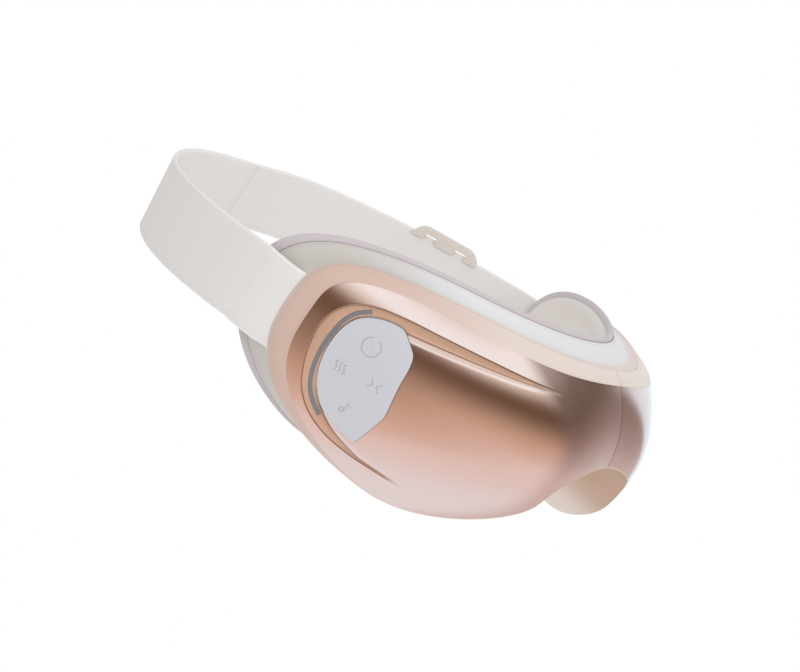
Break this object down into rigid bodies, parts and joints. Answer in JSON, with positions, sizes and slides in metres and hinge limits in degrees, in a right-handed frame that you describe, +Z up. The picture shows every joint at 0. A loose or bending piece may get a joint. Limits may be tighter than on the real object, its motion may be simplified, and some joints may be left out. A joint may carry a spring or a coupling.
{
  "type": "eye massager",
  "caption": "Wrap-around heated air-pressure eye massager: glossy domed front shell folding at the nose, side keypad, padded face rim and elastic head strap with a slide buckle.",
  "frame": {"origin": "on the ground under the middle of the bounding box, between the mask and the back of the strap", "axes": "+X to the wearer's left across the mask, +Y from the front shell to the back of the head, +Z up"},
  "size_m": [0.2177, 0.2092, 0.0807],
  "materials": {
    "rose_gold": "glossy metallic rose-gold lacquer on moulded plastic",
    "peach_satin": "satin peach paint",
    "white_housing": "satin white moulded plastic",
    "lilac_rim": "soft synthetic leather over foam, pale lilac grey",
    "beige_lining": "soft synthetic leather, beige",
    "strap_webbing": "ribbed elastic webbing, off-white",
    "buckle_plastic": "satin gloss peach plastic",
    "keypad_silicone": "silicone keypad, pale grey, embossed symbols",
    "light_guide": "grey translucent light guide",
    "inner_plastic": "moulded structural plastic",
    "steel": "plain steel",
    "weight_metal": "dense sintered metal",
    "board_green": "printed circuit laminate",
    "switch_black": "moulded black plastic",
    "airbag_film": "flexible film and tube",
    "heater_film": "amber flexible film",
    "battery_wrap": "wrapped pouch cell"
  },
  "bodies": {
    "right_half": {"front_shell_right": "rose_gold", "side_band_right": "peach_satin", "rear_housing_right": "white_housing", "face_rim_right": "lilac_rim", "face_cushion_right": "beige_lining", "strap_end_right": "strap_webbing", "mounting_plate_right": "inner_plastic", "end_wall_right": "inner_plastic", "motor_cradle_right": "inner_plastic", "hinge_leaf_right": "steel", "strap_bar_right": "steel", "screws_right": "steel", "vibration_motor_right": "steel", "airbag_right": "airbag_film", "heating_pad_right": "heater_film", "hinge_pin": "steel", "keypad_panel": "keypad_silicone", "light_strip": "light_guide", "control_board": "board_green", "key_switches": "switch_black", "charging_port": "steel", "air_pump": "switch_black", "pump_motor": "steel", "air_hose": "airbag_film", "flat_cable": "heater_film", "bridge_lining": "beige_lining"},
    "left_half": {"front_shell_left": "rose_gold", "side_band_left": "peach_satin", "rear_housing_left": "white_housing", "face_rim_left": "lilac_rim", "face_cushion_left": "beige_lining", "strap_end_left": "strap_webbing", "mounting_plate_left": "inner_plastic", "end_wall_left": "inner_plastic", "motor_cradle_left": "inner_plastic", "hinge_leaf_left": "steel", "strap_bar_left": "steel", "screws_left": "steel", "vibration_motor_left": "steel", "airbag_left": "airbag_film", "heating_pad_left": "heater_film", "battery": "battery_wrap", "air_valve": "switch_black"},
    "strap_right_run": {"strap_right": "strap_webbing"},
    "strap_left_run": {"strap_left": "strap_webbing"},
    "buckle": {"strap_buckle": "buckle_plastic"},
    "key_power_cap": {"key_power": "keypad_silicone"},
    "key_heat_cap": {"key_heat": "keypad_silicone"},
    "key_massage_cap": {"key_massage": "keypad_silicone"},
    "key_mode_cap": {"key_mode": "keypad_silicone"},
    "weight_right": {"vibration_weight_right": "weight_metal"},
    "weight_left": {"vibration_weight_left": "weight_metal"}
  },
  "joints": [
    {"name": "fold", "type": "hinge", "parent": "right_half", "child": "left_half", "pos_m": [0, -0.07061, 0.06428], "axis": [0, 0, 1], "range_deg": [0, 100], "deforming": ["bridge_lining", "air_hose", "flat_cable"]},
    {"name": "strap_right_fold", "type": "hinge", "parent": "right_half", "child": "strap_right_run", "pos_m": [-0.1083, 0.00359, 0.03908], "axis": [0, 0, 1], "range_deg": [0, 92.3]},
    {"name": "strap_left_fold", "type": "hinge", "parent": "left_half", "child": "strap_left_run", "pos_m": [0.1083, 0.00359, 0.03908], "axis": [0, 0, 1], "range_deg": [-92.3, 0]},
    {"name": "buckle_slide", "type": "slide", "parent": "strap_left_run", "child": "buckle", "axis": [0.3924, -0.9112, 0.1255], "range_m": [0, 0.012]},
    {"name": "press_power", "type": "slide", "parent": "right_half", "child": "key_power_cap", "axis": [0.8659, 0.4999, 0.0192], "range_m": [0, 0.0005], "stiffness_N_per_m": 1500, "springref_m": -0.0003},
    {"name": "press_heat", "type": "slide", "parent": "right_half", "child": "key_heat_cap", "axis": [0.8659, 0.4999, 0.0192], "range_m": [0, 0.0005], "stiffness_N_per_m": 1500, "springref_m": -0.0003},
    {"name": "press_massage", "type": "slide", "parent": "right_half", "child": "key_massage_cap", "axis": [0.8659, 0.4999, 0.0192], "range_m": [0, 0.0005], "stiffness_N_per_m": 1500, "springref_m": -0.0003},
    {"name": "press_mode", "type": "slide", "parent": "right_half", "child": "key_mode_cap", "axis": [0.8659, 0.4999, 0.0192], "range_m": [0, 0.0005], "stiffness_N_per_m": 1500, "springref_m": -0.0003},
    {"name": "weight_right_spin", "type": "hinge", "parent": "right_half", "child": "weight_right", "pos_m": [-0.0709, -0.04889, 0.01908], "axis": [0.766, -0.6428, 0], "continuous": true},
    {"name": "weight_left_spin", "type": "hinge", "parent": "left_half", "child": "weight_left", "pos_m": [0.0709, -0.04889, 0.01908], "axis": [-0.766, -0.6428, 0], "continuous": true}
  ],
  "couplings": [
    {"joint": "strap_right_fold", "follows": "fold", "ratio": 0.9205},
    {"joint": "strap_left_fold", "follows": "fold", "ratio": -0.9205}
  ]
}
